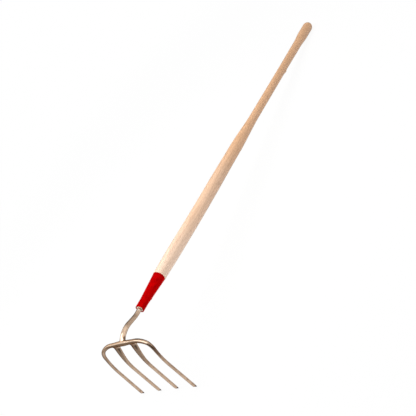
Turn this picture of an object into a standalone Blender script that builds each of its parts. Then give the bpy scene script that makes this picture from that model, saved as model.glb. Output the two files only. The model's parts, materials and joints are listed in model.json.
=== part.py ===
"""Potato hook: a turned ash handle, a tapered ferrule, a forged four tine head and its locking pin.

Metres, +Z up. The tool lies as it is put down, on its four tine points and the swell of the butt.
+X runs along the handle from the head to the butt, and the tool is the same on both sides of Y = 0.
Every piece is made in the tool's own frame, whose origin is the centre of the ferrule's small end,
with +X along the handle's axis and the tines pointing down. One empty turns that frame to its rest.
"""

import math

import bmesh
import bpy
import numpy as np

# Fits
seat_gap = 0.0003
cutter_overrun = 0.006

# Handle, measured along its axis from the ferrule's small end
handle_end = 1.3716
handle_recess = 0.0015
shoulder_diameter = 0.0356
shoulder_round = 0.0012
shoulder_blend = 0.100
shaft_diameter = 0.0384
upper_shaft_start = 0.470
upper_shaft_blend = 0.150
upper_shaft_diameter = 0.0366
taper_start = 0.640
taper_length = 0.175
grip_diameter = 0.0272
grip_flare_start = 1.080
grip_flare_length = 0.150
grip_flare_diameter = 0.0288
swell_start = 1.236
swell_length = 0.068
swell_diameter = 0.0349
butt_dome_length = 0.019
butt_flat_diameter = 0.012

# Ferrule
ferrule_length = 0.1115
ferrule_nose_diameter = 0.0238
ferrule_nose_run = 0.026
ferrule_rim_diameter = 0.0338
ferrule_wall = 0.0015
ferrule_edge_round = 0.0005

# Tang and gooseneck
tang_length = 0.105
tang_tip_diameter = 0.0085
tang_point_length = 0.009
tang_point_diameter = 0.004
neck_diameter = 0.0118
neck_start_run = 0.013
neck_lift_radius = 0.100
neck_lift_angle = math.radians(10)
neck_lift_run = 0.020
neck_drop_radius = 0.070
neck_drop_angle = math.radians(34)
neck_end_run = 0.0025
neck_growth_start = 0.030
neck_growth_length = 0.050
neck_grown_diameter = 0.0136
neck_foot_width = 0.0200
neck_foot_thickness = 0.0112
neck_foot_length = 0.012

# Crossbar and the outer tines that its ends are bent into
crossbar_thickness = 0.0104
crossbar_depth = 0.0104
crossbar_centre_thickness = 0.0122
crossbar_centre_depth = 0.0138
crossbar_centre_half_width = 0.042
crossbar_squareness = 2.6
shoulder_droop_radius = 0.085
shoulder_droop_angle = math.radians(27)
shoulder_bend_radius = 0.024
shoulder_taper_start = 0.068
shoulder_taper_length = 0.064
outer_tine_offset = 0.0975
outer_tine_advance = 0.0018
outer_tine_toe_out = math.radians(1.7)

# Tines
tine_length = 0.1774
tine_width = 0.0082
tine_thickness = 0.0071
tine_squareness = 2.2
tine_root_lean = math.radians(15)
tine_sweep_radius = 0.270
tine_back_lean = math.radians(3.2)
tine_tip_slant = math.radians(50)
tine_tip_run = 0.010
tine_tip_scale = 0.88
tine_tip_bevel = 0.0016

# Inner tines
inner_tine_offset = 0.0334
inner_root_set_back = 0.0034
inner_set_back_start = 0.012
inner_set_back_end = 0.064
inner_root_width = 0.0228
inner_root_squareness = 1.75
inner_root_fade = 0.039
inner_root_thickness = 0.0104
inner_buried_thickness = 0.0094
inner_thickness_fade = 0.045

# Locking pin
pin_station = 0.045
pin_diameter = 0.0036
pin_reach = 0.004
pin_point_length = 0.0012
pin_point_diameter = 0.0018
pin_head_diameter = 0.0072
pin_head_height = 0.0013
pin_head_seat = 0.0003

# Facets
turned_sides = 40
forged_sides = 20
pin_sides = 20
change_steps = 9
dome_steps = 7
edge_steps = 3
arc_step = math.radians(5)
tight_arc_step = math.radians(9)
tang_step = 0.035
bar_step = 0.012
root_step = 0.0065
blade_step = 0.0125


def clear_scene():
    """Remove every object of the file that runs this script."""
    for old in list(bpy.data.objects):
        bpy.data.objects.remove(old, do_unlink=True)


def new_collection(name):
    """A collection linked to the scene."""
    group = bpy.data.collections.new(name)
    bpy.context.scene.collection.children.link(group)
    return group


def new_material(name, colour, roughness, metallic):
    """A Principled material of one colour."""
    material = bpy.data.materials.new(name)
    material.use_nodes = True
    shader = material.node_tree.nodes["Principled BSDF"]
    shader.inputs["Base Color"].default_value = (*colour, 1.0)
    shader.inputs["Roughness"].default_value = roughness
    shader.inputs["Metallic"].default_value = metallic
    material.diffuse_color = (*colour, 1.0)
    return material


def new_object(name, mesh, group, parent):
    """An object of a mesh, in a collection and under the tool's frame."""
    made = bpy.data.objects.new(name, mesh)
    group.objects.link(made)
    made.parent = parent
    return made


def smooth(mesh):
    """Shade round faces smooth and keep edges over 35 degrees sharp."""
    mesh.shade_smooth()
    mesh.set_sharp_from_angle(angle=math.radians(35))


def as_cutter(made):
    """Mark an object as one that only shapes others."""
    made.hide_render = True
    made.display_type = "WIRE"
    return made


def combine(target, other, operation):
    """Join or cut a solid with another, exactly."""
    modifier = target.modifiers.new(operation.title() + "_" + other.name, "BOOLEAN")
    modifier.operation = operation
    modifier.solver = "EXACT"
    modifier.object = other


def turned(name, profile, sides, group, parent):
    """A solid of revolution about its own Z: a profile of (radius, height), from top to bottom."""
    mesh = bpy.data.meshes.new(name)
    mesh.from_pydata([(radius, 0.0, height) for radius, height in profile],
                     [(i, i + 1) for i in range(len(profile) - 1)], [])
    made = new_object(name, mesh, group, parent)
    screw = made.modifiers.new("Turn", "SCREW")
    screw.axis = "Z"
    screw.angle = 2 * math.pi
    screw.steps = sides
    screw.render_steps = sides
    screw.use_merge_vertices = True
    screw.merge_threshold = 0.00001
    screw.use_smooth_shade = True
    return made


def cone_between(name, near_radius, far_radius, length, sides, group, parent):
    """A capped cone or cylinder from its own origin up its own Z."""
    mesh = bpy.data.meshes.new(name)
    shape = bmesh.new()
    bmesh.ops.create_cone(shape, cap_ends=True, segments=sides,
                          radius1=near_radius, radius2=far_radius, depth=length)
    bmesh.ops.translate(shape, verts=shape.verts, vec=(0.0, 0.0, length / 2))
    shape.to_mesh(mesh)
    shape.free()
    return new_object(name, mesh, group, parent)


def ease(value):
    """Rise from 0 to 1 with a level start and end."""
    held = np.clip(value, 0.0, 1.0)
    return held * held * (3 - 2 * held)


def stations(start, stop, step):
    """Even stops from start to stop, no further than step apart."""
    count = max(1, math.ceil(abs(stop - start) / step - 1e-9))
    return np.linspace(start, stop, count + 1)


def quarter_round(steps):
    """Angles of a quarter circle."""
    return np.linspace(0.0, math.pi / 2, steps + 1)


# The handle's profile

def ferrule_radius(position):
    """The ferrule's outer radius at a distance from its small end: a short straight nose, then a cone."""
    share = max(position - ferrule_nose_run, 0.0) / (ferrule_length - ferrule_nose_run)
    return (ferrule_nose_diameter + (ferrule_rim_diameter - ferrule_nose_diameter) * share) / 2


def shaft_changes():
    """(start, length, new diameter) of each stretch over which the bare wood changes its size."""
    return [(ferrule_length, shoulder_blend, shaft_diameter),
            (upper_shaft_start, upper_shaft_blend, upper_shaft_diameter),
            (taper_start, taper_length, grip_diameter),
            (grip_flare_start, grip_flare_length, grip_flare_diameter),
            (swell_start, swell_length, swell_diameter)]


def shaft_radius(position):
    """The bare wood's radius: its diameter at the ferrule, eased through each change in turn."""
    diameter = shoulder_diameter
    before = shoulder_diameter
    for start, length, after in shaft_changes():
        diameter += (after - before) * ease((position - start) / length)
        before = after
    return float(diameter) / 2


def handle_profile():
    """(radius, position) from the flat at the butt to the cone's end inside the ferrule."""
    dome_start = handle_end - butt_dome_length
    dome_radius = shaft_radius(dome_start)
    flat_radius = butt_flat_diameter / 2
    profile = [(0.0, handle_end)]
    for angle in quarter_round(dome_steps):
        radius = flat_radius + (dome_radius - flat_radius) * math.sin(angle)
        profile.append((radius, dome_start + butt_dome_length * math.cos(angle)))
    shoulder = ferrule_length + seat_gap
    bare_start = shoulder + shoulder_round
    stops = [dome_start, bare_start]
    for start, length, _ in shaft_changes():
        eased = stations(start, start + length, length / change_steps)
        stops += [stop for stop in eased if bare_start < stop < dome_start]
    for position in sorted(set(stops), reverse=True)[1:]:
        profile.append((shaft_radius(position), float(position)))
    for angle in quarter_round(edge_steps)[1:]:
        radius = shaft_radius(bare_start) - shoulder_round * (1 - math.cos(angle))
        profile.append((radius, bare_start - shoulder_round * math.sin(angle)))
    wood_wall = ferrule_wall + seat_gap
    profile.append((ferrule_radius(shoulder) - wood_wall, shoulder))
    profile.append((ferrule_radius(ferrule_nose_run) - wood_wall, ferrule_nose_run))
    profile.append((ferrule_radius(handle_recess) - wood_wall, handle_recess))
    profile.append((0.0, handle_recess))
    return profile


def make_handle(group, cutters, parent, material):
    """The turned pole, bored for the tang and drilled for the pin."""
    handle = turned("handle", handle_profile(), turned_sides, group, parent)
    handle.rotation_euler = (0.0, math.pi / 2, 0.0)
    handle.data.materials.append(material)
    bore_length = tang_length + seat_gap + cutter_overrun
    mouth_radius = tang_radius(-cutter_overrun) + seat_gap
    end_radius = tang_tip_diameter / 2 + seat_gap
    bore = cone_between("tang_bore", mouth_radius, end_radius, bore_length, turned_sides, cutters, parent)
    bore.location = (-cutter_overrun, 0.0, 0.0)
    bore.rotation_euler = (0.0, math.pi / 2, 0.0)
    combine(handle, as_cutter(bore), "DIFFERENCE")
    return handle


# The ferrule

def make_ferrule(group, cutters, parent, material):
    """The tapered tube, one open wall turned round the handle's axis."""
    edge = ferrule_edge_round
    nose = ferrule_radius(0.0)
    rim = ferrule_radius(ferrule_length)
    inner = ferrule_wall
    profile = [(rim - inner + edge, ferrule_length),
               (rim - edge, ferrule_length),
               (rim, ferrule_length - edge),
               (nose, ferrule_nose_run),
               (nose, edge),
               (nose - edge, 0.0),
               (nose - inner + edge, 0.0),
               (nose - inner, edge),
               (nose - inner, ferrule_nose_run),
               (rim - inner, ferrule_length - edge),
               (rim - inner + edge, ferrule_length)]
    ferrule = turned("ferrule", profile, turned_sides, group, parent)
    ferrule.rotation_euler = (0.0, math.pi / 2, 0.0)
    ferrule.data.materials.append(material)
    return ferrule


# The forged head

def tang_radius(position):
    """The tang's radius, which falls evenly from the neck's to its tip's."""
    share = position / tang_length
    return (neck_diameter + (tang_tip_diameter - neck_diameter) * share) / 2


def neck_path():
    """Points from the tang's point, out of the handle, up and over the gooseneck to the crossbar."""
    xs = [*(tang_length - stations(0.0, tang_point_length, tang_point_length)),
          *stations(tang_length - tang_point_length, 0.0, tang_step)[1:]]
    zs = [0.0] * len(xs)
    heading = 0.0
    moves = [("run", neck_start_run, 0.0),
             ("turn", neck_lift_radius, neck_lift_angle),
             ("run", neck_lift_run, 0.0),
             ("turn", neck_drop_radius, -neck_lift_angle - neck_drop_angle),
             ("run", neck_end_run, 0.0)]
    for kind, size, angle in moves:
        x = xs[-1]
        z = zs[-1]
        if kind == "run":
            xs.append(x - size * math.cos(heading))
            zs.append(z + size * math.sin(heading))
            continue
        side = math.copysign(1.0, angle)
        for turned_by in stations(0.0, angle, arc_step)[1:]:
            now = heading + turned_by
            xs.append(x - side * size * (math.sin(now) - math.sin(heading)))
            zs.append(z + side * size * (math.cos(heading) - math.cos(now)))
        heading += angle
    return np.array(xs), np.array(zs)


def crossbar_centre():
    """Where the neck's centreline meets the crossbar's."""
    xs, zs = neck_path()
    return float(xs[-1]), float(zs[-1])


def tine_bow(depth):
    """How far a tine's centreline lies behind the crossbar's at a depth below it.

    It leaves the crossbar leaning forward, sweeps back on one long arc and runs on straight.
    """
    lean_sine = math.sin(tine_root_lean)
    sweep_depth = tine_sweep_radius * (lean_sine + math.sin(tine_back_lean))
    swept = np.minimum(depth, sweep_depth)
    cosine = np.sqrt(1 - (lean_sine - swept / tine_sweep_radius) ** 2)
    arc = -tine_sweep_radius * (cosine - math.cos(tine_root_lean))
    return arc + (depth - swept) * math.tan(tine_back_lean)


def tine_stops(first):
    """Depths below the crossbar from a first stop to the tine's point."""
    blade = stations(first, tine_length - tine_tip_run, blade_step)
    return np.array([*blade, tine_length - tine_tip_bevel, tine_length])


def tip_scale(depths):
    """The share of its full section that a tine keeps: it is drawn in just before its sheared end."""
    drawn = ease((depths - (tine_length - tine_tip_run)) / tine_tip_run)
    return 1 - (1 - tine_tip_scale) * drawn


def tip_slant(depths):
    """The slope of a section: square along the tine, and sheared back more and more over its tip's run."""
    share = np.clip((depths - (tine_length - tine_tip_run)) / tine_tip_run, 0.0, 1.0)
    return share * math.tan(tine_tip_slant)


def rings_of(centres, across, first_sizes, second_sizes, squareness, slants):
    """Sections of a bar: at each centre a rounded outline, square to the path.

    Its first size lies along the part of across that is square to the path, and its second size
    along the third direction. Squareness 2 is an ellipse, and more is nearer to a rectangle. A
    slant leans a section along the path by that slope times its reach towards +X.
    """
    tangents = np.gradient(centres, axis=0)
    tangents /= np.linalg.norm(tangents, axis=1)[:, None]
    first = across - tangents * (tangents @ across)[:, None]
    first /= np.linalg.norm(first, axis=1)[:, None]
    second = np.cross(tangents, first)
    angles = np.arange(forged_sides) * 2 * math.pi / forged_sides
    powers = (2 / squareness)[:, None]
    cosines = np.sign(np.cos(angles)) * np.abs(np.cos(angles)) ** powers
    sines = np.sign(np.sin(angles)) * np.abs(np.sin(angles)) ** powers
    along_first = cosines * first_sizes[:, None] / 2
    along_second = sines * second_sizes[:, None] / 2
    offsets = along_first[:, :, None] * first[:, None, :] + along_second[:, :, None] * second[:, None, :]
    leaning = offsets[:, :, 0] * slants[:, None]
    return centres[:, None, :] + offsets + leaning[:, :, None] * tangents[:, None, :]


def loft(name, rings, open_start, group, parent):
    """A closed bar through a row of sections, or one that is left open at its first."""
    count, sides, _ = rings.shape
    faces = []
    for i in range(count - 1):
        for j in range(sides):
            k = (j + 1) % sides
            faces.append((i * sides + j, i * sides + k, (i + 1) * sides + k, (i + 1) * sides + j))
    faces.append(tuple((count - 1) * sides + j for j in range(sides)))
    if not open_start:
        faces.append(tuple(reversed(range(sides))))
    mesh = bpy.data.meshes.new(name)
    mesh.from_pydata(rings.reshape(-1, 3).tolist(), [], faces)
    smooth(mesh)
    return new_object(name, mesh, group, parent)


def mirrored(made):
    """Repeat a half on the other side of the tool's middle plane."""
    mirror = made.modifiers.new("Mirror", "MIRROR")
    mirror.use_axis = (False, True, False)
    mirror.use_mirror_merge = True
    mirror.merge_threshold = 0.00001
    return made


def outer_bar_path():
    """Sideways places and depths of half the outer bar's centreline.

    It is straight in the middle, droops on a wide arc, bends down on a tight one and runs on to the
    point, spreading a little.
    """
    droop_end = math.sin(shoulder_droop_angle)
    bend_reach = shoulder_bend_radius * (math.cos(outer_tine_toe_out) - droop_end)
    droop_start = outer_tine_offset - bend_reach - shoulder_droop_radius * droop_end
    droop = stations(0.0, shoulder_droop_angle, arc_step)
    bend = stations(shoulder_droop_angle, math.pi / 2 - outer_tine_toe_out, tight_arc_step)[1:]
    straight = stations(0.0, droop_start, bar_step)[:-1]
    droop_sides = droop_start + shoulder_droop_radius * np.sin(droop)
    droop_depths = shoulder_droop_radius * (1 - np.cos(droop))
    bend_sides = droop_sides[-1] + shoulder_bend_radius * (np.sin(bend) - droop_end)
    bend_depths = droop_depths[-1] + shoulder_bend_radius * (math.cos(shoulder_droop_angle) - np.cos(bend))
    blade_depths = tine_stops(bend_depths[-1])[1:]
    blade_sides = bend_sides[-1] + (blade_depths - bend_depths[-1]) * math.tan(outer_tine_toe_out)
    sides = np.concatenate([straight, droop_sides, bend_sides, blade_sides])
    depths = np.concatenate([straight * 0.0, droop_depths, bend_depths, blade_depths])
    return sides, depths


def outer_bar_rings():
    """Half the crossbar, the bend at its end and the outer tine, from the middle plane to the point."""
    bar_x, bar_z = crossbar_centre()
    sides, depths = outer_bar_path()
    advance = outer_tine_advance * ease(depths / shoulder_bend_radius)
    centres = np.stack([bar_x + tine_bow(depths) - advance, sides, bar_z - depths], axis=1)
    steps = np.linalg.norm(np.diff(centres, axis=0), axis=1)
    travelled = np.concatenate([[0.0], np.cumsum(steps)])
    drawn = ease((travelled - shoulder_taper_start) / shoulder_taper_length)
    centred = 1 - ease(travelled / crossbar_centre_half_width)
    keep = tip_scale(depths)
    thickness = crossbar_thickness + (tine_thickness - crossbar_thickness) * drawn
    thickness += (crossbar_centre_thickness - crossbar_thickness) * centred
    width = crossbar_depth + (tine_width - crossbar_depth) * drawn
    width += (crossbar_centre_depth - crossbar_depth) * centred
    squareness = crossbar_squareness + (tine_squareness - crossbar_squareness) * drawn
    rings = rings_of(centres, np.array([1.0, 0.0, 0.0]), thickness * keep, width * keep, squareness,
                     tip_slant(depths))
    rings[0, :, 1] = 0.0
    return rings


def inner_tine_rings():
    """One inner tine, from its wide flat root inside the crossbar to its point."""
    bar_x, bar_z = crossbar_centre()
    root_stop = crossbar_depth / 2
    root_depths = stations(0.0, inner_set_back_end, root_step)
    depths = np.concatenate([root_depths[:-1], tine_stops(root_depths[-1])])
    below = np.maximum(depths - root_stop, 0.0)
    keep = tip_scale(depths)
    rooted = np.exp(-(below / inner_root_fade) ** 2)
    width = tine_width + (inner_root_width - tine_width) * rooted
    squareness = tine_squareness + (inner_root_squareness - tine_squareness) * rooted
    fading = np.exp(-below / inner_thickness_fade)
    thickness = tine_thickness + (inner_root_thickness - tine_thickness) * fading
    thickness = np.where(depths < root_stop, inner_buried_thickness, thickness)
    side = np.full(len(depths), inner_tine_offset)
    set_back = inner_root_set_back * ease(depths / inner_set_back_start)
    set_back *= 1 - ease(depths / inner_set_back_end)
    centres = np.stack([bar_x + tine_bow(depths) + set_back, side, bar_z - depths], axis=1)
    return rings_of(centres, np.array([0.0, 1.0, 0.0]), width * keep, thickness * keep, squareness,
                    tip_slant(depths))


def neck_rings():
    """The tang and the gooseneck, from the tang's point to the foot inside the crossbar."""
    xs, zs = neck_path()
    centres = np.stack([xs, xs * 0.0, zs], axis=1)
    diameters = 2 * tang_radius(np.maximum(xs, 0.0))
    diameters[0] = tang_point_diameter
    diameters += (neck_grown_diameter - neck_diameter) * ease((-xs - neck_growth_start) / neck_growth_length)
    left = np.concatenate([np.cumsum(np.hypot(np.diff(xs), np.diff(zs))[::-1])[::-1], [0.0]])
    footing = ease(1 - (left - crossbar_depth / 2) / neck_foot_length)
    widths = diameters + (neck_foot_width - diameters) * footing
    thicknesses = diameters + (neck_foot_thickness - diameters) * footing
    round_section = np.full(len(xs), 2.0)
    return rings_of(centres, np.array([0.0, 1.0, 0.0]), widths, thicknesses, round_section, xs * 0.0)


def make_head(group, cutters, parent, material):
    """The forging: one bar for the crossbar and outer tines, joined by the neck and the inner tines."""
    head = mirrored(loft("forged_head", outer_bar_rings(), True, group, parent))
    head.data.materials.append(material)
    neck = as_cutter(loft("neck_and_tang", neck_rings(), False, cutters, parent))
    inner_tines = as_cutter(mirrored(loft("inner_tines", inner_tine_rings(), False, cutters, parent)))
    combine(head, neck, "UNION")
    combine(head, inner_tines, "UNION")
    return head


# The locking pin

def make_pin(group, cutters, parent, material, drilled):
    """The domed pin, driven up from under the ferrule through the wood and the tang."""
    radius = pin_diameter / 2
    head_radius = pin_head_diameter / 2
    seat = -ferrule_radius(pin_station) - pin_head_seat
    top = tang_radius(pin_station) + pin_reach
    profile = [(0.0, top),
               (pin_point_diameter / 2, top),
               (radius, top - pin_point_length),
               (radius, seat),
               (head_radius, seat)]
    for angle in quarter_round(edge_steps)[1:]:
        profile.append((head_radius * math.cos(angle), seat - pin_head_height * math.sin(angle)))
    pin = turned("ferrule_pin", profile, pin_sides, group, parent)
    pin.location = (pin_station, 0.0, 0.0)
    pin.data.materials.append(material)
    hole_radius = radius + seat_gap
    start = seat - cutter_overrun
    length = top + seat_gap - start
    hole = cone_between("pin_hole", hole_radius, hole_radius, length, pin_sides, cutters, parent)
    hole.location = (pin_station, 0.0, start)
    as_cutter(hole)
    for piece in drilled:
        combine(piece, hole, "DIFFERENCE")
    return pin


# How the tool lies

def rest_slope():
    """The slope of the floor in the tool's frame when the tine points and the butt touch it."""
    points = np.concatenate([outer_bar_rings()[-3:], inner_tine_rings()[-3:]]).reshape(-1, 3)
    wood = np.array(handle_profile())
    wood = wood[wood[:, 1] > swell_start]
    slope = 0.0
    for _ in range(12):
        reach = np.max(-points[:, 2] + slope * points[:, 0])
        slope = float(np.min((reach - wood[:, 0]) / wood[:, 1]))
    return slope


def lay_down(frame, pieces):
    """Turn the tool's frame to its rest, on the floor and centred over the origin."""
    frame.rotation_euler = (0.0, math.atan(rest_slope()), 0.0)
    bpy.context.view_layer.update()
    graph = bpy.context.evaluated_depsgraph_get()
    corners = []
    for piece in pieces:
        solid = piece.evaluated_get(graph)
        turned_to_world = np.array(solid.matrix_world)
        points = np.empty(len(solid.data.vertices) * 3, dtype=np.float32)
        solid.data.vertices.foreach_get("co", points)
        placed = points.reshape(-1, 3) @ turned_to_world[:3, :3].T + turned_to_world[:3, 3]
        corners += [placed.min(axis=0), placed.max(axis=0)]
    low = np.min(corners, axis=0)
    high = np.max(corners, axis=0)
    frame.location = (float(-(low[0] + high[0]) / 2), 0.0, float(-low[2]))


clear_scene()
tool = new_collection("potato_hook")
cutters = new_collection("cutters")
frame = bpy.data.objects.new("tool_frame", None)
tool.objects.link(frame)

ash = new_material("ash", (0.80, 0.62, 0.46), 0.5, 0.0)
red_paint = new_material("red_paint", (0.60, 0.005, 0.005), 0.25, 0.0)
forged_steel = new_material("forged_steel", (0.50, 0.41, 0.32), 0.35, 1.0)
bright_steel = new_material("bright_steel", (0.62, 0.61, 0.59), 0.35, 1.0)

handle = make_handle(tool, cutters, frame, ash)
ferrule = make_ferrule(tool, cutters, frame, red_paint)
head = make_head(tool, cutters, frame, forged_steel)
pin = make_pin(tool, cutters, frame, bright_steel, [handle, ferrule, head])
lay_down(frame, [handle, ferrule, head, pin])
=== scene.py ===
import json
import math

import bmesh
import bpy
import numpy as np
from mathutils import Matrix, Vector


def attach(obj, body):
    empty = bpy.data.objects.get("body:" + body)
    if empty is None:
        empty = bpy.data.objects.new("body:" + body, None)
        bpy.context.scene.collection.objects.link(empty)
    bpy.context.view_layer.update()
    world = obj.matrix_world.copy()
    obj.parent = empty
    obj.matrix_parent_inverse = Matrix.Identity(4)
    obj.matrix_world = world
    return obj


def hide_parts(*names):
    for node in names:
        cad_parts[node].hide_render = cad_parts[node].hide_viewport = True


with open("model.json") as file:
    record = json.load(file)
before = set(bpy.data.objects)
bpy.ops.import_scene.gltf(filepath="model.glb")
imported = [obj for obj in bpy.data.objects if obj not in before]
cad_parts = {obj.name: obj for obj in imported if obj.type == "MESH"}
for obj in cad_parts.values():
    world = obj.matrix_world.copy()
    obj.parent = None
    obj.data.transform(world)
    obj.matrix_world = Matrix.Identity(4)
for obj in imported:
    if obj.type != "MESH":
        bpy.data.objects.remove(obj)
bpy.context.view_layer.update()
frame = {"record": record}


# How the tool lies, and the camera
# The tool is laid down on its four tine points and the swell of its butt. Each piece is worked out in
# the tool's own frame: X from the ferrule's small end to the butt, the tines down, Y = 0 its middle.

handle_end = 1.3716
butt_face = frame["record"]["mounts"][0]
along = np.array(butt_face["axis"])
sideways = np.array([0.0, 1.0, 0.0])
upward = np.cross(along, sideways)
ferrule_end = np.array(butt_face["pos_m"]) - handle_end * along
tool_slope = math.atan2(-along[2], along[0])


def laid(points):
    """Points of the tool's frame in the world: the ferrule's end plus each coordinate along its axis."""
    return ferrule_end + points @ np.stack([along, sideways, upward])


camera_place = (-1.46314, -1.47370, 1.02695)
camera_aim = (-0.22835, -0.00921, 0.11187)
camera_roll = math.radians(47.0095)
camera_lens = 64.904
camera_film = 36.0

view = bpy.data.cameras.new("view")
view.lens = camera_lens
view.sensor_width = camera_film
view.clip_start = 0.05
camera = bpy.data.objects.new("camera", view)
bpy.context.scene.collection.objects.link(camera)
sight = Vector(camera_aim) - Vector(camera_place)
level = sight.to_track_quat("-Z", "Y").to_matrix().to_4x4()
camera.matrix_world = Matrix.Translation(camera_place) @ level @ Matrix.Rotation(-camera_roll, 4, "Z")
bpy.context.scene.camera = camera
bpy.context.scene.view_settings.view_transform = "Standard"


# The handle
# One stick of ash, turned on a lathe: a thick shaft, a slim grip with a small knot and a swelled, domed
# butt. Its head end is turned down to a cone and a spigot, for the ferrule and its rolled lip, and bored
# for the tang. It has a thin clear lacquer.

handle_recess = 0.0004
shoulder_diameter = 0.0356
shoulder_round = 0.0012
shaft_changes = ((0.1115, 0.100, 0.0384),
                 (0.470, 0.150, 0.0366),
                 (0.640, 0.175, 0.0272),
                 (1.080, 0.150, 0.0288),
                 (1.236, 0.068, 0.0349))
butt_dome_length = 0.019
butt_flat_radius = 0.006
ferrule_length = 0.1115
ferrule_wall = 0.0015
ferrule_lip = 0.0027
ferrule_lip_depth = 0.0012
seat_gap = 0.0003
ferrule_nose_run = 0.026
ferrule_nose_radius = 0.0119
ferrule_rim_radius = 0.0169
spigot_chamfer = 0.0003
tang_length = 0.105
tang_end_radius = 0.0059
tang_tip_radius = 0.00425
bore_mouth_radius = 0.0062
bore_mouth_depth = 0.0015
bore_mouth_rise = 0.0003
handle_sides = 128
handle_step = 0.0046
cone_step = 0.012
bore_step = 0.020
merge_distance = 0.0000002
bow_depth = 0.0013
bow_start = 0.110
bow_end = 0.620
bow_lean = math.radians(27)
knot_place = 1.077
knot_reach = 0.008
knot_height = 0.0022
knot_turn = math.radians(-122)
knot_spread = math.radians(28)


def ease(value):
    """Three squares less two cubes of the value held between 0 and 1: level at both ends."""
    held = np.clip(value, 0.0, 1.0)
    return held * held * (3 - 2 * held)


def stations(start, stop, step):
    """Even stops from start to stop, both included, no further apart than step."""
    return np.linspace(start, stop, max(2, math.ceil(abs(stop - start) / step - 1e-9) + 1))


def shaft_radius(position):
    """The bare wood's radius: the shoulder's, plus each change in turn times the ease of its stretch."""
    diameter = shoulder_diameter + 0.0 * position
    before = shoulder_diameter
    for start, length, after in shaft_changes:
        diameter = diameter + (after - before) * ease((position - start) / length)
        before = after
    return diameter / 2


def ferrule_radius(position):
    """The ferrule's outer radius: level along its nose, then a straight cone to its rim."""
    share = np.clip((position - ferrule_nose_run) / (ferrule_length - ferrule_nose_run), 0.0, None)
    return ferrule_nose_radius + (ferrule_rim_radius - ferrule_nose_radius) * share


def tang_radius(position):
    """The tang's radius: an even taper from its end at the ferrule's small end to its tip in the wood."""
    return tang_end_radius + (tang_tip_radius - tang_end_radius) * (position / tang_length)


def handle_profile():
    """(radius, position) from the butt's flat, over the dome and the shaft, into the ferrule and the bore.

    The dome is a quarter ellipse, the shoulder a quarter circle, and the wood under the ferrule keeps
    the ferrule's wall and a gap away from its outside. The spigot is level, and the bore is as wide as
    the tang and a gap.
    """
    dome_start = handle_end - butt_dome_length
    dome_rise = shaft_radius(dome_start) - butt_flat_radius
    turn = np.linspace(0.0, math.pi / 2, 18)
    dome = np.stack([butt_flat_radius + dome_rise * np.sin(turn),
                     dome_start + butt_dome_length * np.cos(turn)], 1)
    bare_start = ferrule_length + seat_gap + shoulder_round
    shaft_stops = stations(dome_start, bare_start, handle_step)[1:]
    shaft = np.stack([shaft_radius(shaft_stops), shaft_stops], 1)
    turn = np.linspace(0.0, math.pi / 2, 6)[1:]
    shoulder = np.stack([shaft_radius(bare_start) - shoulder_round * (1 - np.cos(turn)),
                         bare_start - shoulder_round * np.sin(turn)], 1)
    cone_stops = stations(ferrule_length + seat_gap, ferrule_lip_depth + seat_gap, cone_step)
    cone = np.stack([ferrule_radius(cone_stops) - ferrule_wall - seat_gap, cone_stops], 1)
    spigot_radius = ferrule_nose_radius - ferrule_lip - seat_gap
    spigot = np.array([(spigot_radius, ferrule_lip_depth + seat_gap),
                       (spigot_radius, handle_recess + spigot_chamfer)])
    face = np.array([(spigot_radius - spigot_chamfer, handle_recess),
                     (bore_mouth_radius, handle_recess - bore_mouth_rise)])
    bore_stops = stations(handle_recess + bore_mouth_depth, tang_length + seat_gap, bore_step)
    bore = np.stack([tang_radius(bore_stops) + seat_gap, bore_stops], 1)
    butt_pole = np.array([[0.0, handle_end]])
    bore_pole = np.array([[0.0, bore_stops[-1]]])
    return np.concatenate([butt_pole, dome, shaft, shoulder, cone, spigot, face, bore, bore_pole])


def turned(profile, sides):
    """A turned piece's grid of points: each (radius, position) of a profile carried round the X axis."""
    angles = np.arange(sides) * 2 * math.pi / sides
    radii = profile[:, :1]
    positions = np.repeat(profile[:, 1:], sides, axis=1)
    return np.stack([positions, radii * np.cos(angles), radii * np.sin(angles)], axis=2)


def add_bow(grid):
    """Bend the handle: its depth times the square of a half wave between the bow's start and end."""
    share = (grid[:, :, 0] - bow_start) / (bow_end - bow_start)
    bow = bow_depth * np.sin(math.pi * np.clip(share, 0.0, 1.0)) ** 2
    grid[:, :, 1] -= bow * math.sin(bow_lean)
    grid[:, :, 2] -= bow * math.cos(bow_lean)


def add_knot(grid):
    """Raise the knot: its height times a bell curve along the handle and another one round it."""
    around = np.arctan2(grid[:, :, 2], grid[:, :, 1]) - knot_turn
    around = (around + math.pi) % (2 * math.pi) - math.pi
    distance = ((grid[:, :, 0] - knot_place) / knot_reach) ** 2 + (around / knot_spread) ** 2
    knot = knot_height * np.exp(-distance)
    grid[:, :, 1] += knot * math.cos(knot_turn)
    grid[:, :, 2] += knot * math.sin(knot_turn)


def skin(name, grids, closed_along=False):
    """A mesh through grids of points, rows along a piece and columns round it.

    Each column joins the next and the last joins the first; rows join the same way where closed_along
    says so. Points that coincide, as the poles' do, are merged, and the faces are turned outwards.
    """
    points = []
    faces = []
    offset = 0
    for grid in grids:
        rows, sides, _ = grid.shape
        numbers = offset + np.arange(rows * sides).reshape(rows, sides)
        here = numbers if closed_along else numbers[:-1]
        there = np.roll(numbers, -1, axis=0) if closed_along else numbers[1:]
        quads = np.stack([here, np.roll(here, -1, axis=1), np.roll(there, -1, axis=1), there], axis=2)
        points.append(grid.reshape(-1, 3))
        faces.append(quads.reshape(-1, 4))
        offset += rows * sides
    mesh = bpy.data.meshes.new(name)
    mesh.from_pydata(laid(np.concatenate(points)).tolist(), [], np.concatenate(faces).tolist())
    shape = bmesh.new()
    shape.from_mesh(mesh)
    bmesh.ops.remove_doubles(shape, verts=shape.verts, dist=merge_distance)
    bmesh.ops.recalc_face_normals(shape, faces=shape.faces)
    shape.to_mesh(mesh)
    shape.free()
    return mesh


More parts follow.
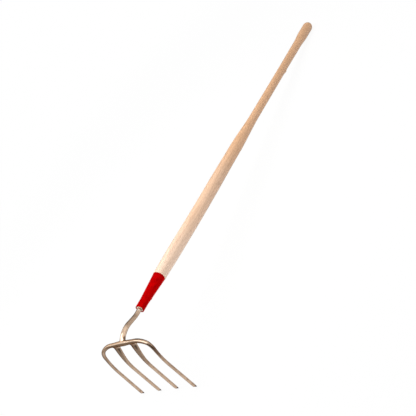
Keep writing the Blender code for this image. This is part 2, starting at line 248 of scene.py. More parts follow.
def new_piece(name, mesh, material, node, sharp=40):
    """A finished piece of the scene: it stands for a solid of the tool and takes the finish of a slot.

    Edges that turn by more than the sharp angle, in degrees, stay crisp.
    """
    mesh.shade_smooth()
    mesh.set_sharp_from_angle(angle=math.radians(sharp))
    mesh.materials.append(material)
    piece = bpy.data.objects.new(name, mesh)
    bpy.context.scene.collection.objects.link(piece)
    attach(piece, "root")
    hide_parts(node)


class Wire:
    """An output of a material's nodes. Sums of wires and numbers add the Math nodes that they need."""

    def __init__(self, tree, socket=None):
        self.tree = tree
        self.socket = socket

    def node(self, kind, settings=None, sockets=None, output=0):
        """Add any node: first its settings, then its sockets' values or wires."""
        made = self.tree.nodes.new("ShaderNode" + kind)
        for key, value in (settings or {}).items():
            setattr(made, key, value)
        feed(made, sockets or {})
        return Wire(self.tree, made.outputs[output])

    def also(self, output):
        """Another output of this wire's node."""
        return Wire(self.tree, self.socket.node.outputs[output])

    def maths(self, operation, first, second):
        """One Math node on two wires or numbers."""
        return self.node("Math", {"operation": operation}, {0: first, 1: second})

    def __add__(self, other):
        return self.maths("ADD", self, other)

    __radd__ = __add__

    def __sub__(self, other):
        return self.maths("SUBTRACT", self, other)

    def __rsub__(self, other):
        return self.maths("SUBTRACT", other, self)

    def __mul__(self, other):
        return self.maths("MULTIPLY", self, other)

    __rmul__ = __mul__

    def __truediv__(self, other):
        return self.maths("DIVIDE", self, other)

    def over(self, low, high, new_low=0.0, new_high=1.0):
        """The value carried from one range to another with eased, held ends."""
        return self.node("MapRange", {"interpolation_type": "SMOOTHSTEP"},
                         {0: self, 1: low, 2: high, 3: new_low, 4: new_high})

    def mixed(self, low, high):
        """A colour between two others by this value."""
        return self.node("Mix", {"data_type": "RGBA"}, {0: self, 6: low, 7: high}, 2)

    def length(self):
        """How far this place lies from the origin."""
        return self.node("VectorMath", {"operation": "LENGTH"}, {0: self}, "Value")

    def off_spot(self, spot, reach, turn=0.0):
        """How far this place lies from a spot, as a share of the spot's reach along each axis."""
        sockets = {"Vector": self, "Location": spot, "Rotation": (0.0, 0.0, turn), "Scale": reach}
        stretched = self.node("Mapping", {"vector_type": "TEXTURE"}, sockets)
        return stretched.length()

    def noise(self, scale, detail=2.0, output=0):
        """Smooth noise at this place, in patches about one over the scale wide, with finer ones in them."""
        sockets = {"Vector": self, "Scale": scale, "Detail": detail}
        return self.node("TexNoise", sockets=sockets, output=output)


def feed(node, sockets):
    """Set a node's sockets to values, or link wires to them."""
    for key, value in sockets.items():
        if isinstance(value, Wire):
            value.tree.links.new(value.socket, node.inputs[key])
        else:
            node.inputs[key].default_value = value


def colour(red, green, blue):
    """A colour as it is seen on a screen, from 0 to 255 each, as the light that it stands for."""
    seen = np.array([red, green, blue]) / 255
    light = np.where(seen <= 0.04045, seen / 12.92, ((seen + 0.055) / 1.055) ** 2.4)
    return (*(float(part) for part in light), 1.0)


def new_finish(name):
    """A material, its Principled shader and a wire to start its sums from."""
    material = bpy.data.materials.new(name)
    material.use_nodes = True
    tree = material.node_tree
    return material, tree.nodes["Principled BSDF"], Wire(tree)


def in_tool_frame(start, stretch=(1.0, 1.0, 1.0)):
    """Object coordinates turned into the tool's frame and divided by a stretch along each of its axes."""
    place = start.node("TexCoord", output="Object")
    return start.node("Mapping", {"vector_type": "TEXTURE"},
                      {"Vector": place, "Location": tuple(ferrule_end), "Rotation": (0.0, tool_slope, 0.0),
                       "Scale": stretch})


ash_pale = colour(236, 205, 180)
ash_tan = colour(214, 168, 128)
# The end face's colour: paler than the wood, a painted light against the shade in the ferrule's mouth.
ash_end_painted_light = colour(250, 238, 215)
# A painted shadow's colour: dark, for the gap beside the tang on the end face.
ash_gap_shadow = colour(52, 44, 36)
ash_ring = colour(176, 130, 92)
ash_pore = colour(150, 108, 74)
ring_spacing = 0.0030
ring_wander = 0.012
ring_taper = 0.004
pith_place = (0.0, 0.034, -0.026)
pale_end_depth = 0.0015
# Where the painted shadow of the gap lies on the end face, and how far it reaches.
gap_shadow_place = (handle_recess, -0.0088, -0.0046)
gap_shadow_reach = (0.006, 0.0036, 0.0044)


def ash_finish():
    """Lacquered ash: growth rings round a pith outside the stick, pores and fleck drawn out along it.

    A ring shows where the place's distance from the pith, divided by the spacing, nears a whole number.
    The wood is pale at the head and tan at the butt. Its end is painted paler still, a painted light against
    the shade in the ferrule's mouth, with one painted shadow where the gap beside the tang lies.
    """
    material, shader, start = new_finish("ash")
    place = in_tool_frame(start)
    position = start.node("SeparateXYZ", sockets={0: place}, output="X")
    wander = in_tool_frame(start, (9.0, 1.0, 1.0)).noise(22.0, output="Color")
    bent = start.node("VectorMath", {"operation": "MULTIPLY_ADD"},
                      {0: wander, 1: (0.0, ring_wander, ring_wander), 2: place})
    from_pith = start.node("VectorMath", {"operation": "SUBTRACT"}, {0: bent, 1: pith_place})
    across = start.node("VectorMath", {"operation": "MULTIPLY"}, {0: from_pith, 1: (ring_taper, 1.0, 1.0)})
    rings = start.maths("FRACT", across.length() / ring_spacing, 0.0)
    early = rings.over(0.55, 0.98) * (1 - rings.over(0.985, 1.0))
    fibre = in_tool_frame(start, (26.0, 1.0, 1.0))
    pores = fibre.noise(2600.0).over(0.54, 0.68)
    streaks = fibre.noise(420.0, 3.0)
    clouds = in_tool_frame(start, (3.0, 1.0, 1.0)).noise(14.0)
    toward_butt = (position + (clouds - 0.5) * 0.3).over(0.06, 0.75)
    wood = toward_butt.mixed(ash_pale, ash_tan)
    wood = (early * (0.10 + streaks * 0.22)).mixed(wood, ash_ring)
    wood = (pores * (0.05 + early * 0.22)).mixed(wood, ash_pore)
    shade = streaks.over(0.25, 0.75, 0.97, 1.03) * clouds.over(0.3, 0.7, 0.97, 1.03)
    wood = start.node("VectorMath", {"operation": "SCALE"}, {0: wood, "Scale": shade})
    # Painted light: the end face is painted pale where the ferrule's mouth shades it.
    at_end = 1 - position.over(handle_recess + pale_end_depth, handle_recess + 2 * pale_end_depth)
    wood = (at_end * 0.8).mixed(wood, ash_end_painted_light)
    # A painted shadow: a dark spot on the end face where the gap beside the tang lies in shade.
    gap_shadow = 1 - place.off_spot(gap_shadow_place, gap_shadow_reach).over(0.6, 1.0)
    wood = (gap_shadow * 0.85).mixed(wood, ash_gap_shadow)
    grooves = start.node("Bump", sockets={"Strength": 0.2, "Distance": 0.00015,
                                          "Height": 1 - pores * (0.3 + early * 0.7) + streaks * 0.3})
    feed(shader, {"Base Color": wood, "Roughness": 0.46 - streaks * 0.12 + pores * 0.1, "Normal": grooves,
                  "Coat Weight": 0.6, "Coat Roughness": 0.28, "IOR": 1.48})
    return material


handle_grid = turned(handle_profile(), handle_sides)
add_bow(handle_grid)
add_knot(handle_grid)
new_piece("ash_handle", skin("ash_handle", [handle_grid]), ash_finish(), "handle")


# The ferrule
# A tapered tube of thin steel, pressed over the handle's cone and painted gloss red all over. Its small
# end is rolled in to a lip, and the end of the wood shows in the hole round the neck.

ferrule_edge = 0.0005
ferrule_sides = 128
ferrule_step = 0.0045
paint_red = colour(190, 2, 3)
paint_deep = colour(166, 1, 3)
paint_mirror_tint = (1.0, 0.02, 0.02, 1.0)
paint_sheen_tint = (1.0, 0.01, 0.01, 1.0)


def ferrule_profile():
    """(radius, position) once round the tube's wall: outside, rim, inside, lip and small end.

    The outside and the inside are the ferrule's radius, the inside less the wall, and each outer edge is
    a quarter circle.
    """
    edge = ferrule_edge
    turn = np.linspace(0.0, math.pi / 2, 5)
    sine = edge * np.sin(turn)
    cosine = edge * np.cos(turn)
    rim_hole = ferrule_rim_radius - ferrule_wall
    nose_hole = ferrule_nose_radius - ferrule_lip
    outside = stations(edge, ferrule_length - edge, ferrule_step)
    inside = outside[::-1]
    wall_out = np.stack([ferrule_radius(outside), outside], 1)[1:-1]
    rim_out = np.stack([ferrule_rim_radius - edge + cosine, ferrule_length - edge + sine], 1)
    rim_in = np.stack([rim_hole + edge - sine, ferrule_length - edge + cosine], 1)
    wall_in = np.stack([ferrule_radius(inside) - ferrule_wall, inside], 1)[1:-1]
    lip = np.array([(ferrule_radius(ferrule_lip_depth) - ferrule_wall, ferrule_lip_depth),
                    (nose_hole, ferrule_lip_depth)])
    nose_in = np.stack([nose_hole + edge - cosine, edge - sine], 1)
    nose_out = np.stack([ferrule_nose_radius - edge + sine, edge - cosine], 1)
    return np.concatenate([wall_out, rim_out, rim_in, wall_in, lip, nose_in, nose_out])


def red_finish():
    """Gloss enamel: two close reds mixed by the flow of the spray, with a red sheen and a clear skin.

    The skin shows only where the surface is seen at a slant.
    """
    material, shader, start = new_finish("red_paint")
    flow = in_tool_frame(start, (2.0, 1.0, 1.0)).noise(130.0)
    peel = in_tool_frame(start).noise(900.0, 1.0)
    uneven = start.node("Bump", sockets={"Strength": 0.12, "Distance": 0.0002,
                                         "Height": flow * 0.8 + peel * 0.2})
    slant = start.node("LayerWeight", sockets={"Blend": 0.35}, output="Facing")
    feed(shader, {"Base Color": flow.over(0.3, 0.7).mixed(paint_deep, paint_red), "Metallic": 0.3,
                  "Roughness": 0.20 + flow * 0.1, "Normal": uneven,
                  "Specular IOR Level": 0.0, "Specular Tint": paint_mirror_tint,
                  "Coat Weight": slant.over(0.2, 0.8) * 0.2, "Coat Roughness": 0.08,
                  "Sheen Weight": 1.0, "Sheen Roughness": 0.3, "Sheen Tint": paint_sheen_tint})
    return material


ferrule_skin = skin("painted_ferrule", [turned(ferrule_profile(), ferrule_sides)], closed_along=True)
new_piece("painted_ferrule", ferrule_skin, red_finish(), "ferrule")


# The forged head
# One forging of carbon steel. A square bar is drawn out for the crossbar, its ends bent down for the
# outer tines, and the inner tines and the neck with its tang are worked out of its middle. It is ground
# along its length and lacquered.

neck_start_run = 0.013
neck_lift_radius = 0.100
neck_lift_angle = math.radians(10)
neck_lift_run = 0.020
neck_drop_radius = 0.070
neck_drop_angle = math.radians(34)
neck_end_run = 0.0025
neck_growth_start = 0.030
neck_growth_length = 0.050
neck_grown_diameter = 0.0136
neck_foot_width = 0.0200
neck_foot_thickness = 0.0112
neck_foot_length = 0.012
tang_point_length = 0.009
tang_point_radius = 0.002
crossbar_thickness = 0.0104
crossbar_depth = 0.0104
crossbar_centre_thickness = 0.0122
crossbar_centre_depth = 0.0138
crossbar_centre_half_width = 0.042
crossbar_squareness = 2.6
shoulder_droop_radius = 0.085
shoulder_droop_angle = math.radians(27)
shoulder_bend_radius = 0.024
shoulder_taper_start = 0.068
shoulder_taper_length = 0.064
outer_tine_offset = 0.0975
outer_tine_advance = 0.0018
outer_tine_toe_out = math.radians(1.7)
tine_length = 0.1774
tine_width = 0.0082
tine_thickness = 0.0071
tine_squareness = 2.2
tine_root_lean = math.radians(15)
tine_sweep_radius = 0.270
tine_back_lean = math.radians(3.2)
tine_tip_slant = math.radians(50)
tine_tip_run = 0.010
tine_tip_scale = 0.88
inner_tine_offset = 0.0334
inner_root_set_back = 0.0034
inner_set_back_start = 0.012
inner_set_back_end = 0.064
inner_root_width = 0.0228
inner_root_squareness = 1.75
inner_root_fade = 0.039
inner_root_thickness = 0.0104
inner_buried_thickness = 0.0094
inner_thickness_fade = 0.045
inner_root_blend = 0.002
half_bar_overlap = 0.004
bar_sides = 48
bar_step = 0.0012
forging_grain = 0.00065
filling_rounds = 14
sliding_share = 0.4
filling_share = 0.5
wearing_share = 0.06
full_filling = 0.0012
steel_crease = 60


def neck_path():
    """The centreline of the tang and the neck, from the tang's tip: its positions and its heights.

    Straight out of the handle, up on a wide arc, straight, down on a tighter arc and straight again:
    each stretch starts where the last ends, and an arc adds its radius times the change of sine and
    cosine of its heading.
    """
    xs = [stations(tang_length, 0.0, bar_step)]
    zs = [xs[0] * 0.0]
    heading = 0.0
    moves = ((neck_start_run, 0.0, 0.0),
             (0.0, neck_lift_radius, neck_lift_angle),
             (neck_lift_run, 0.0, 0.0),
             (0.0, neck_drop_radius, -neck_lift_angle - neck_drop_angle),
             (neck_end_run, 0.0, 0.0))
    for run, radius, angle in moves:
        x = xs[-1][-1]
        z = zs[-1][-1]
        if run:
            stops = stations(0.0, run, bar_step)[1:]
            xs.append(x - stops * math.cos(heading))
            zs.append(z + stops * math.sin(heading))
        else:
            side = math.copysign(1.0, angle)
            now = heading + stations(0.0, angle, bar_step / radius)[1:]
            xs.append(x - side * radius * (np.sin(now) - math.sin(heading)))
            zs.append(z + side * radius * (math.cos(heading) - np.cos(now)))
        heading += angle
    return np.concatenate(xs), np.concatenate(zs)


neck_x, neck_z = neck_path()
bar_x = float(neck_x[-1])
bar_z = float(neck_z[-1])


def tine_bow(depth):
    """How far a tine lies behind the crossbar at a depth below it: one long arc, then a straight lean."""
    lean_sine = math.sin(tine_root_lean)
    sweep_depth = tine_sweep_radius * (lean_sine + math.sin(tine_back_lean))
    swept = np.minimum(depth, sweep_depth)
    cosine = np.sqrt(1 - (lean_sine - swept / tine_sweep_radius) ** 2)
    sweep = tine_sweep_radius * (cosine - math.cos(tine_root_lean))
    return (depth - swept) * math.tan(tine_back_lean) - sweep


def drawn_in(depths):
    """The share of its section that a tine keeps: full along it, drawn in by ease at its point."""
    return 1 - (1 - tine_tip_scale) * ease((depths - tine_length + tine_tip_run) / tine_tip_run)


def sheared_back(depths):
    """The slope of a tine's section towards its point: none, then more and more over the tip's run."""
    return np.clip((depths - tine_length + tine_tip_run) / tine_tip_run, 0.0, 1.0) * math.tan(tine_tip_slant)


def bar_rings(centres, across, first_sizes, second_sizes, squareness, slants):
    """Sections carried along a path, as a grid closed with a pole at both ends.

    A section is a rounded square, cosine and sine to the power 2 over squareness times half a size, laid
    on two directions square to the path. A slant moves each point along the path by its share of how far
    the point lies towards the handle.
    """
    tangents = np.gradient(centres, axis=0)
    tangents /= np.linalg.norm(tangents, axis=1)[:, None]
    first = across - tangents * (tangents @ across)[:, None]
    first /= np.linalg.norm(first, axis=1)[:, None]
    second = np.cross(tangents, first)
    angles = np.arange(bar_sides) * 2 * math.pi / bar_sides
    powers = (2 / (squareness + 0.0 * first_sizes))[:, None]
    cosines = np.sign(np.cos(angles)) * np.abs(np.cos(angles)) ** powers
    sines = np.sign(np.sin(angles)) * np.abs(np.sin(angles)) ** powers
    along_first = cosines * first_sizes[:, None] / 2
    along_second = sines * second_sizes[:, None] / 2
    offsets = along_first[:, :, None] * first[:, None, :] + along_second[:, :, None] * second[:, None, :]
    leaning = offsets[:, :, 0] * slants[:, None]
    rings = centres[:, None, :] + offsets + leaning[:, :, None] * tangents[:, None, :]
    poles = [np.repeat(ring.mean(axis=0)[None, None, :], bar_sides, axis=1) for ring in (rings[0], rings[-1])]
    return np.concatenate([poles[0], rings, poles[1]])


def outer_bar(side):
    """Half the crossbar with its outer tine: straight, a wide droop, a tight bend, then the blade.

    Its section eases from the crossbar's to the blade's with the way travelled, and swells by ease
    towards the crossbar's middle.
    """
    droop_end = math.sin(shoulder_droop_angle)
    bend_reach = shoulder_bend_radius * (math.cos(outer_tine_toe_out) - droop_end)
    droop_start = outer_tine_offset - bend_reach - shoulder_droop_radius * droop_end
    droop = stations(0.0, shoulder_droop_angle, bar_step / shoulder_droop_radius)
    bend_end = math.pi / 2 - outer_tine_toe_out
    bend = stations(shoulder_droop_angle, bend_end, bar_step / shoulder_bend_radius)[1:]
    straight = stations(-half_bar_overlap, droop_start, bar_step)[:-1]
    droop_sides = droop_start + shoulder_droop_radius * np.sin(droop)
    droop_depths = shoulder_droop_radius * (1 - np.cos(droop))
    bend_sides = droop_sides[-1] + shoulder_bend_radius * (np.sin(bend) - droop_end)
    bend_depths = droop_depths[-1] + shoulder_bend_radius * (math.cos(shoulder_droop_angle) - np.cos(bend))
    blade_depths = stations(bend_depths[-1], tine_length, bar_step)[1:]
    blade_sides = bend_sides[-1] + (blade_depths - bend_depths[-1]) * math.tan(outer_tine_toe_out)
    sides = np.concatenate([straight, droop_sides, bend_sides, blade_sides])
    depths = np.concatenate([straight * 0.0, droop_depths, bend_depths, blade_depths])
    advance = outer_tine_advance * ease(depths / shoulder_bend_radius)
    centres = np.stack([bar_x + tine_bow(depths) - advance, side * sides, bar_z - depths], axis=1)
    steps = np.linalg.norm(np.diff(centres, axis=0), axis=1)
    travelled = np.concatenate([[0.0], np.cumsum(steps)]) - half_bar_overlap
    drawn = ease((travelled - shoulder_taper_start) / shoulder_taper_length)
    centred = 1 - ease(travelled / crossbar_centre_half_width)
    keep = drawn_in(depths)
    thickness = crossbar_thickness + (tine_thickness - crossbar_thickness) * drawn
    thickness += (crossbar_centre_thickness - crossbar_thickness) * centred
    width = crossbar_depth + (tine_width - crossbar_depth) * drawn
    width += (crossbar_centre_depth - crossbar_depth) * centred
    squareness = crossbar_squareness + (tine_squareness - crossbar_squareness) * drawn
    return bar_rings(centres, np.array([1.0, 0.0, 0.0]), thickness * keep, width * keep, squareness,
                     sheared_back(depths))


def inner_tine(side):
    """An inner tine: its root's width, ridge and thickness fade with the depth to the blade's.

    The width and the ridge fade by a bell curve and the thickness by a falling exponential. Near its root
    the tine is set back behind the bar, and inside the bar it is a little thinner.
    """
    depths = stations(0.0, tine_length, bar_step)
    below = np.maximum(depths - crossbar_depth / 2, 0.0)
    keep = drawn_in(depths)
    rooted = np.exp(-(below / inner_root_fade) ** 2)
    width = tine_width + (inner_root_width - tine_width) * rooted
    squareness = tine_squareness + (inner_root_squareness - tine_squareness) * rooted
    fading = np.exp(-below / inner_thickness_fade)
    thickness = tine_thickness + (inner_root_thickness - tine_thickness) * fading
    thickness += (inner_buried_thickness - thickness) * (1 - ease(below / inner_root_blend))
    set_back = inner_root_set_back * ease(depths / inner_set_back_start)
    set_back *= 1 - ease(depths / inner_set_back_end)
    centres = np.stack([bar_x + tine_bow(depths) + set_back, side * inner_tine_offset + 0.0 * depths,
                        bar_z - depths], axis=1)
    return bar_rings(centres, np.array([0.0, 1.0, 0.0]), width * keep, thickness * keep, squareness,
                     sheared_back(depths))


def neck_and_tang():
    """The tang's even taper, the neck that grows towards the crossbar and the foot that spreads on it."""
    centres = np.stack([neck_x, neck_x * 0.0, neck_z], axis=1)
    radii = tang_radius(np.maximum(neck_x, 0.0))
    pointed = np.clip((tang_length - neck_x) / tang_point_length, 0.0, 1.0)
    radii = tang_point_radius + (radii - tang_point_radius) * pointed
    grown = neck_grown_diameter / 2 - tang_end_radius
    radii += grown * ease((-neck_x - neck_growth_start) / neck_growth_length)
    steps = np.hypot(np.diff(neck_x), np.diff(neck_z))
    left = np.concatenate([np.cumsum(steps[::-1])[::-1], [0.0]])
    footing = ease(1 - (left - crossbar_depth / 2) / neck_foot_length)
    widths = 2 * radii + (neck_foot_width - 2 * radii) * footing
    thicknesses = 2 * radii + (neck_foot_thickness - 2 * radii) * footing
    return bar_rings(centres, np.array([0.0, 1.0, 0.0]), widths, thicknesses, 2.0, neck_x * 0.0)


def forged_together(mesh):
    """Fuse overlapping bars into one skin, then fill its inner corners.

    The skin is remeshed on a grid of the grain's size. In each round a point moves towards the mean of its
    neighbours: a share of the way along the surface, a share of the way out of a hollow, and a small
    share of the way into a ridge. The skin keeps three values at each point for its finish: hollow, how
    far the point was moved out as a share of a full filling, side, the square of its normal's sideways
    part, and front, how far its normal turns away from the handle.
    """
    raw = bpy.data.objects.new("raw_forging", mesh)
    bpy.context.scene.collection.objects.link(raw)
    remesh = raw.modifiers.new("Fuse", "REMESH")
    remesh.mode = "VOXEL"
    remesh.voxel_size = forging_grain
    bpy.context.view_layer.update()
    fused = bpy.data.meshes.new_from_object(raw.evaluated_get(bpy.context.evaluated_depsgraph_get()))
    bpy.data.objects.remove(raw)
    count = len(fused.vertices)
    points = np.empty(count * 3)
    normals = np.empty(count * 3)
    pairs = np.empty(len(fused.edges) * 2, dtype=np.int32)
    fused.vertices.foreach_get("co", points)
    fused.vertices.foreach_get("normal", normals)
    fused.edges.foreach_get("vertices", pairs)
    points = points.reshape(-1, 3)
    normals = normals.reshape(-1, 3)
    start = points
    near, far = pairs.reshape(-1, 2).T
    neighbours = np.bincount(near, minlength=count) + np.bincount(far, minlength=count)
    for _ in range(filling_rounds):
        total = np.stack([np.bincount(near, points[far, i], count) + np.bincount(far, points[near, i], count)
                          for i in range(3)], axis=1)
        pull = total / neighbours[:, None] - points
        rise = np.sum(pull * normals, axis=1)
        slide = pull - rise[:, None] * normals
        lift = np.where(rise > 0, rise * filling_share, rise * wearing_share)
        points = points + slide * sliding_share + normals * lift[:, None]
    fused.vertices.foreach_set("co", points.ravel())
    fused.update()
    filled = np.clip(np.sum((points - start) * normals, axis=1) / full_filling, 0.0, 1.0)
    settled = np.empty(count * 3)
    fused.vertices.foreach_get("normal", settled)
    settled = settled.reshape(-1, 3)
    for name, values in (("hollow", filled), ("side", settled[:, 1] ** 2), ("front", -settled[:, 0])):
        fused.attributes.new(name, "FLOAT", "POINT").data.foreach_set("value", values)
    return fused


steel_body = colour(198, 169, 144)
steel_dark = colour(118, 90, 70)
steel_light = colour(210, 185, 162)
# A painted highlight's colour, for the neck at the ferrule's mouth and the crossbar's ridge.
steel_highlight = colour(244, 228, 208)
# The darkest colour, for the points near the floor and the darkest spots.
steel_darkest = colour(66, 40, 44)
steel_rim = colour(96, 68, 50)
grind_scale = 1500.0
grind_stretch = 16.0
dark_tip_height = 0.0070
dark_tip_fade = 0.0020
dark_tip_wander = 0.0040

# Spots painted darker, painted shade and painted dark reflection with some forge scale: the middle, the
# reach along each axis, and the share of darkening and of the darkest colour.
shade_and_scale_spots = (((bar_x, -0.1070, bar_z - 0.032), (0.030, 0.018, 0.036), 0.75, 0.65),
               ((bar_x, 0.1070, bar_z - 0.032), (0.030, 0.018, 0.036), 0.35, 0.0),
               ((bar_x, -0.0480, bar_z), (0.030, 0.042, 0.016), 0.30, 0.0),
               ((bar_x + 0.0110, -0.0084, bar_z + 0.0070), (0.0085, 0.0034, 0.0075), 0.80, 0.2),
               ((bar_x - 0.0086, -0.0935, bar_z - 0.0127), (0.0065, 0.0130, 0.0055), 0.60, 0.0),
               ((bar_x, -0.0334, bar_z - 0.062), (0.030, 0.012, 0.022), 0.45, 0.0),
               ((bar_x, -0.1040, bar_z - 0.096), (0.030, 0.012, 0.036), 0.20, 0.0))


def steel_finish():
    """Ground forged steel under a warm lacquer: fine scratches along each bar, darker scale in patches.

    Bare is the share of metal neither scaled nor painted dark. Forge scale lowers it in patches and hollows,
    painted shade at the inner tines' roots, on the bars' sides and on the crossbar's front, and spots of
    painted shade and painted dark reflection, with some scale, lower it further. The neck is painted lighter
    where it lands on the crossbar and at the ferrule, painted highlights, the crossbar has a painted
    highlight along its ridge, and the points are darker near the floor.
    """
    material, shader, start = new_finish("forged_steel")
    place = in_tool_frame(start)
    position = start.node("SeparateXYZ", sockets={0: place}, output="X")
    aside = position.also("Y")
    behind_bar = position - bar_x
    below_bar = bar_z - position.also("Z")
    on_neck = behind_bar.over(0.008, 0.014)
    on_tines = below_bar.over(0.010, 0.020)
    along_neck = in_tool_frame(start, (grind_stretch, 1.0, 1.0)).noise(grind_scale)
    along_bar = in_tool_frame(start, (1.0, grind_stretch, 1.0)).noise(grind_scale)
    along_tine = in_tool_frame(start, (1.0, 1.0, grind_stretch)).noise(grind_scale)
    scratches = (along_bar * (1 - on_neck) + along_neck * on_neck) * (1 - on_tines) + along_tine * on_tines
    patches = place.noise(90.0, 4.0)
    pits = place.noise(700.0)
    hollow = start.node("Attribute", {"attribute_name": "hollow"}, output="Fac")
    side = start.node("Attribute", {"attribute_name": "side"}, output="Fac")
    front = start.node("Attribute", {"attribute_name": "front"}, output="Fac")
    on_roots = (1 - below_bar.over(0.050, 0.105)) * on_tines
    on_bar = (1 - on_neck) * (1 - on_tines) * (1 - aside.over(0.050, 0.075))
    # A painted highlight: the neck is lighter where it lands on the crossbar.
    foot_highlight = on_neck * (1 - behind_bar.over(0.034, 0.050))
    # A painted highlight along the crossbar's ridge, where its face turns partly away from the handle.
    ridge = front.over(0.25, 0.45) * (1 - front.over(0.60, 0.80)) * on_bar
    # Forge scale in patches and hollows; the inner tines' roots are darker, a painted shade.
    bare = (1 - patches.over(0.52, 0.74) * 0.4) * (1 - hollow * 0.5) * (1 - on_roots * 0.2)
    # Painted shade: the bars' sides are darker, varied by patches, except under the neck's painted highlight.
    bare = bare * (1 - side.over(0.30, 0.85) * (0.2 + patches.over(0.35, 0.65) * 0.2) * (1 - foot_highlight * 0.9))
    # Painted shade: the crossbar's front, facing away from the handle, is darker.
    bare = bare * (1 - front.over(0.62, 0.92) * on_bar * 0.55)
    height = start.node("SeparateXYZ", sockets={0: start.node("TexCoord", output="Object")}, output="Z")
    # The points are darker near the floor.
    undarkened = (height + (pits - 0.5) * dark_tip_wander).over(dark_tip_height, dark_tip_height + dark_tip_fade)
    # Each spot darkens the steel: mostly painted shade and painted dark reflection, partly scale.
    for spot, reach, scale, darkest_share in shade_and_scale_spots:
        away = place.off_spot(spot, reach)
        bare = bare * (1 - (1 - away.over(0.5, 1.0)) * scale)
        undarkened = undarkened * (1 - (1 - away.over(0.2, 0.7)) * darkest_share)
    # The share of forge scale and of painted shade, both shown in the dark colour.
    scale_and_shade = 1 - bare
    metal = scratches.over(0.3, 0.7).mixed(steel_body, steel_light)
    # The neck's foot is painted lighter, a painted highlight.
    metal = (foot_highlight * 0.8).mixed(metal, steel_light)
    # A painted highlight: the neck and tang are lighter at the ferrule's mouth.
    metal = (position.over(-0.012, -0.004) * 0.8).mixed(metal, steel_highlight)
    metal = scale_and_shade.mixed(metal, steel_dark)
    # The painted highlight along the crossbar's ridge.
    metal = (ridge * 0.45).mixed(metal, steel_highlight)
    # The points and the darkest spots take the darkest colour.
    metal = ((1 - undarkened) * 0.95).mixed(metal, steel_darkest)
    relief = start.node("Bump", sockets={"Strength": 0.12, "Distance": 0.00005,
                                         "Height": scratches + pits * 0.6 + patches * 1.2})
    feed(shader, {"Base Color": metal, "Metallic": 1.0, "Normal": relief,
                  "Roughness": 0.07 + scratches * 0.05 + scale_and_shade * 0.15, "Specular Tint": steel_rim,
                  "Coat Weight": 0.1, "Coat Roughness": 0.08})
    return material


bars = [outer_bar(-1.0), outer_bar(1.0), inner_tine(-1.0), inner_tine(1.0), neck_and_tang()]
head_skin = forged_together(skin("raw_forging", bars))
new_piece("hook_head", head_skin, steel_finish(), "forged_head", sharp=steel_crease)


# The locking pin
# A short steel pin with a domed head, driven from below through the ferrule, the wood and the tang, so that
# the forged head can't pull out of the handle.

pin_station = 0.045
pin_radius = 0.0018
pin_reach = 0.004
pin_point_length = 0.0012
pin_point_radius = 0.0009
pin_head_radius = 0.0036
pin_head_height = 0.0013
pin_head_seat = 0.0003
pin_head_edge = 0.0002
pin_sides = 64
pin_dark = colour(190, 188, 184)
pin_light = colour(222, 220, 214)


def pin_profile():
    """(radius, height) down from the pin's point: a cone, the shank, and a quarter ellipse for the head."""
    seat = -float(ferrule_radius(pin_station)) - pin_head_seat
    top = tang_radius(pin_station) + pin_reach
    turn = np.linspace(0.0, math.pi / 2, 10)
    shank = np.array([[0.0, top], [pin_point_radius, top], [pin_radius, top - pin_point_length],
                      [pin_radius, seat], [pin_head_radius - pin_head_edge, seat]])
    dome = np.stack([pin_head_radius * np.cos(turn), seat - pin_head_height * np.sin(turn)], 1)
    dome[0, 1] -= pin_head_edge
    return np.concatenate([shank, dome])


def bright_finish():
    """Plain bright steel with a fine all-over grind."""
    material, shader, start = new_finish("bright_steel")
    grind = in_tool_frame(start, (1.0, 8.0, 1.0)).noise(2500.0)
    relief = start.node("Bump", sockets={"Strength": 0.2, "Distance": 0.00005, "Height": grind})
    feed(shader, {"Base Color": grind.over(0.3, 0.7).mixed(pin_dark, pin_light), "Metallic": 1.0,
                  "Roughness": 0.28 + grind * 0.15, "Normal": relief})
    return material


pin_turned = turned(pin_profile(), pin_sides)
pin_grid = np.stack([pin_station + pin_turned[:, :, 1], pin_turned[:, :, 2], pin_turned[:, :, 0]], axis=2)
new_piece("steel_pin", skin("steel_pin", [pin_grid]), bright_finish(), "ferrule_pin")


# The studio
# A white floor that keeps the tool's soft shadow, a white surround, a long soft lamp overhead, and two
# lamps that nothing mirrors: a weak one from the camera's side and a wide one over the ferrule. Walls
# round the head, some dark and some bright, show in reflections alone.

pure_white = (1.0, 1.0, 1.0, 1.0)
floor_size = 80.0
floor_white = (0.75, 0.75, 0.75, 1.0)
floor_near_glow = 0.94
floor_clear_start = 0.9
floor_clear_end = 2.2
floor_bright_place = (-0.62, -0.30, 0.0)
floor_bright_size = (0.75, 0.42, 1.0)
floor_bright_turn = math.radians(-45)
floor_bright_start = 0.45
floor_bright_end = 1.6
floor_far_tone = (0.50, 0.49, 0.48, 1.0)
softbox_place = (-1.00, 0.90, 2.30)
softbox_aim = (-1.00, 0.9001, 0.0)
softbox_width = 1.2
softbox_length = 2.8
softbox_power = 23.0
key_place = (-0.30, -1.60, 2.10)
key_aim = (-0.10, 0.0, 0.10)
key_size = 1.2
key_power = 7.0
top_place = (-0.10, 0.35, 1.90)
top_aim = (-0.15, 0.0, 0.10)
top_width = 2.4
top_length = 1.8
top_power = 36.0
surround_level = 0.51
room_centre = (-0.70, 0.0, 0.0)
wall_tint = (1.0, 0.96, 0.92, 1.0)
wall_step = math.radians(4)

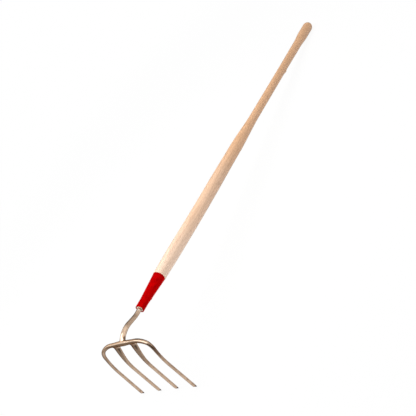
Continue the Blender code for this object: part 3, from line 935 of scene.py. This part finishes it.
# Each wall's name, radius, height of its foot and its top, first and last angle in degrees, and level.
mirror_walls = (("dark_room", 1.95, 0.12, 3.30, 158, 262, 0.12),
                ("side_wall", 1.95, 0.0, 0.80, 108, 132, 0.65),
                ("low_wall", 1.95, 0.0, 0.45, 132, 158, 0.42),
                ("bright_side", 1.95, 0.65, 2.00, 56, 108, 1.38),
                ("near_side", 1.95, 0.0, 3.60, -92, -58, 1.30),
                ("high_side", 1.95, 2.20, 3.60, -58, -15, 1.40),
                ("far_low_wall", 2.60, 0.0, 1.40, -25, 55, 0.22),
                ("far_side_wall", 2.65, 1.40, 2.90, 15, 55, 0.35),
                ("far_wall", 2.65, 1.40, 3.00, -40, 15, 0.60))


def ray_kinds(start):
    """Three masks: the camera's own rays, mirrored rays, and rays that come through something clear."""
    seen = start.node("LightPath", output="Is Camera Ray")
    return seen, seen.also("Is Glossy Ray"), seen.also("Is Transmission Ray")


def floor_finish():
    """Matt white for light and shade, and glowing white for the rays that look at it.

    To the camera it is nearly all glow near the tool, where the rest keeps the shadow, and all glow
    further off. In reflections the glow turns from white to grey outwards from an ellipse by the head.
    """
    material, shader, start = new_finish("white_floor")
    feed(shader, {"Base Color": floor_white, "Roughness": 0.9, "Specular IOR Level": 0.0})
    seen, mirrored, through = ray_kinds(start)
    place = start.node("TexCoord", output="Object")
    clear = place.length().over(floor_clear_start, floor_clear_end, floor_near_glow, 1.0)
    away = place.off_spot(floor_bright_place, floor_bright_size, floor_bright_turn)
    greyed = mirrored * away.over(floor_bright_start, floor_bright_end)
    tone = greyed.mixed(pure_white, floor_far_tone)
    glow = start.node("Emission", sockets={"Color": tone, "Strength": 1.0})
    matt = Wire(start.tree, shader.outputs[0])
    shown = start.node("MixShader", sockets={0: seen * clear + mirrored + through, 1: matt, 2: glow})
    feed(start.tree.nodes["Material Output"], {"Surface": shown})
    return material


def new_floor():
    """One flat square under the tool."""
    half = floor_size / 2
    mesh = bpy.data.meshes.new("floor")
    mesh.from_pydata([(-half, -half, 0.0), (half, -half, 0.0), (half, half, 0.0), (-half, half, 0.0)], [],
                     [(0, 1, 2, 3)])
    mesh.materials.append(floor_finish())
    floor = bpy.data.objects.new("floor", mesh)
    bpy.context.scene.collection.objects.link(floor)


def new_lamp(name, place, aim, width, length, power, mirrored):
    """A soft oblong lamp that points at a place, and that reflections see or don't."""
    light = bpy.data.lights.new(name, "AREA")
    light.shape = "RECTANGLE"
    light.size = width
    light.size_y = length
    light.energy = power
    lamp = bpy.data.objects.new(name, light)
    bpy.context.scene.collection.objects.link(lamp)
    lamp.location = place
    lamp.rotation_euler = (Vector(aim) - Vector(place)).to_track_quat("-Z", "Y").to_euler()
    lamp.visible_glossy = mirrored


def mirror_wall(name, radius, foot, top, first, last, level):
    """Part of a round wall about the head that only reflections see: an arc of points at two heights."""
    material, shader, _ = new_finish(name)
    feed(shader, {"Base Color": (0.0, 0.0, 0.0, 1.0), "Specular IOR Level": 0.0,
                  "Emission Color": wall_tint, "Emission Strength": level})
    turn = stations(math.radians(first), math.radians(last), wall_step)
    arc = np.array(room_centre) + radius * np.stack([np.cos(turn), np.sin(turn), 0.0 * turn], axis=1)
    points = np.concatenate([arc + (0.0, 0.0, foot), arc + (0.0, 0.0, top)])
    near = np.arange(len(turn) - 1)
    panels = np.stack([near, near + 1, near + 1 + len(turn), near + len(turn)], axis=1)
    mesh = bpy.data.meshes.new(name)
    mesh.from_pydata(points.tolist(), [], panels.tolist())
    mesh.materials.append(material)
    wall = bpy.data.objects.new(name, mesh)
    bpy.context.scene.collection.objects.link(wall)
    wall.visible_camera = False
    wall.visible_diffuse = False
    wall.visible_shadow = False
    wall.visible_transmission = False


def white_surround():
    """White to the rays that look at it, and a plain even level of light for everything else."""
    world = bpy.data.worlds.new("surround")
    bpy.context.scene.world = world
    world.use_nodes = True
    seen, mirrored, through = ray_kinds(Wire(world.node_tree))
    shown = seen.maths("MAXIMUM", seen, seen.maths("MAXIMUM", mirrored, through))
    level = shown * (1 - surround_level) + surround_level
    feed(world.node_tree.nodes["Background"], {"Color": pure_white, "Strength": level})


new_floor()
new_lamp("softbox", softbox_place, softbox_aim, softbox_width, softbox_length, softbox_power, mirrored=True)
new_lamp("key", key_place, key_aim, key_size, key_size, key_power, mirrored=False)
new_lamp("top", top_place, top_aim, top_width, top_length, top_power, mirrored=False)
for wall_sizes in mirror_walls:
    mirror_wall(*wall_sizes)
white_surround()
